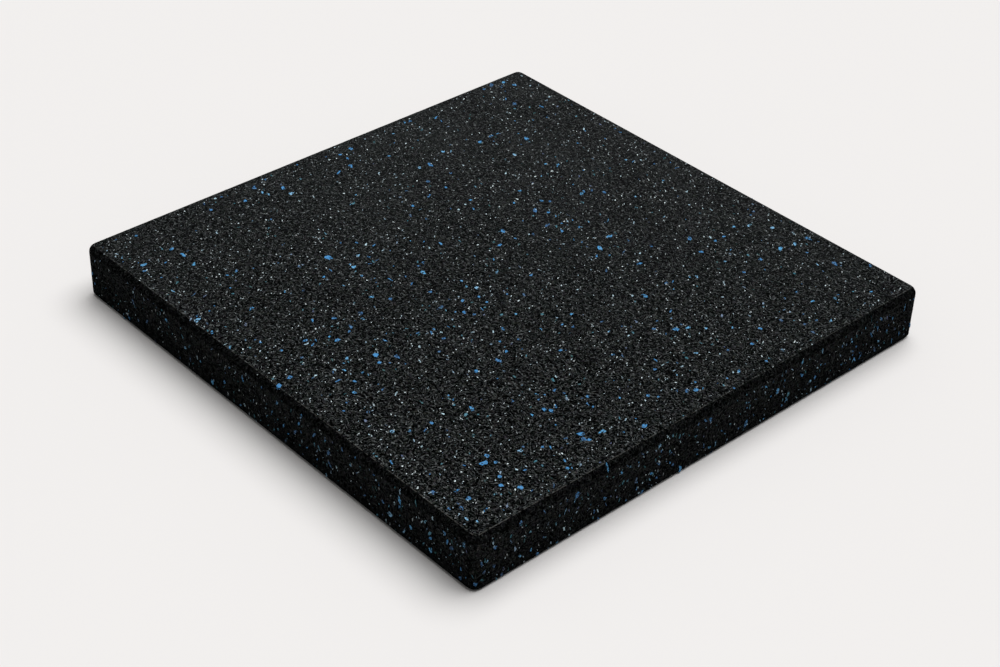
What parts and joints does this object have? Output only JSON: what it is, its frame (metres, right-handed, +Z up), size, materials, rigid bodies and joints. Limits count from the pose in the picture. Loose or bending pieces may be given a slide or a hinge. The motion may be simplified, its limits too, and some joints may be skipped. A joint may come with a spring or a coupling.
{
  "type": "rubber gym floor tile",
  "caption": "Thick square floor tile moulded from black rubber crumb with coloured flecks, with a rounded top edge, for free-weight areas.",
  "frame": {"origin": "middle of the underside, which lies on the floor", "axes": "+Z up through the thickness, +X and +Y along the sides"},
  "size_m": [0.5, 0.5, 0.05],
  "materials": {
    "crumb_rubber": "matt black bonded crumb with blue and pale grey flecks"
  },
  "bodies": {
    "root": {"rubber_tile": "crumb_rubber"}
  },
  "joints": []
}
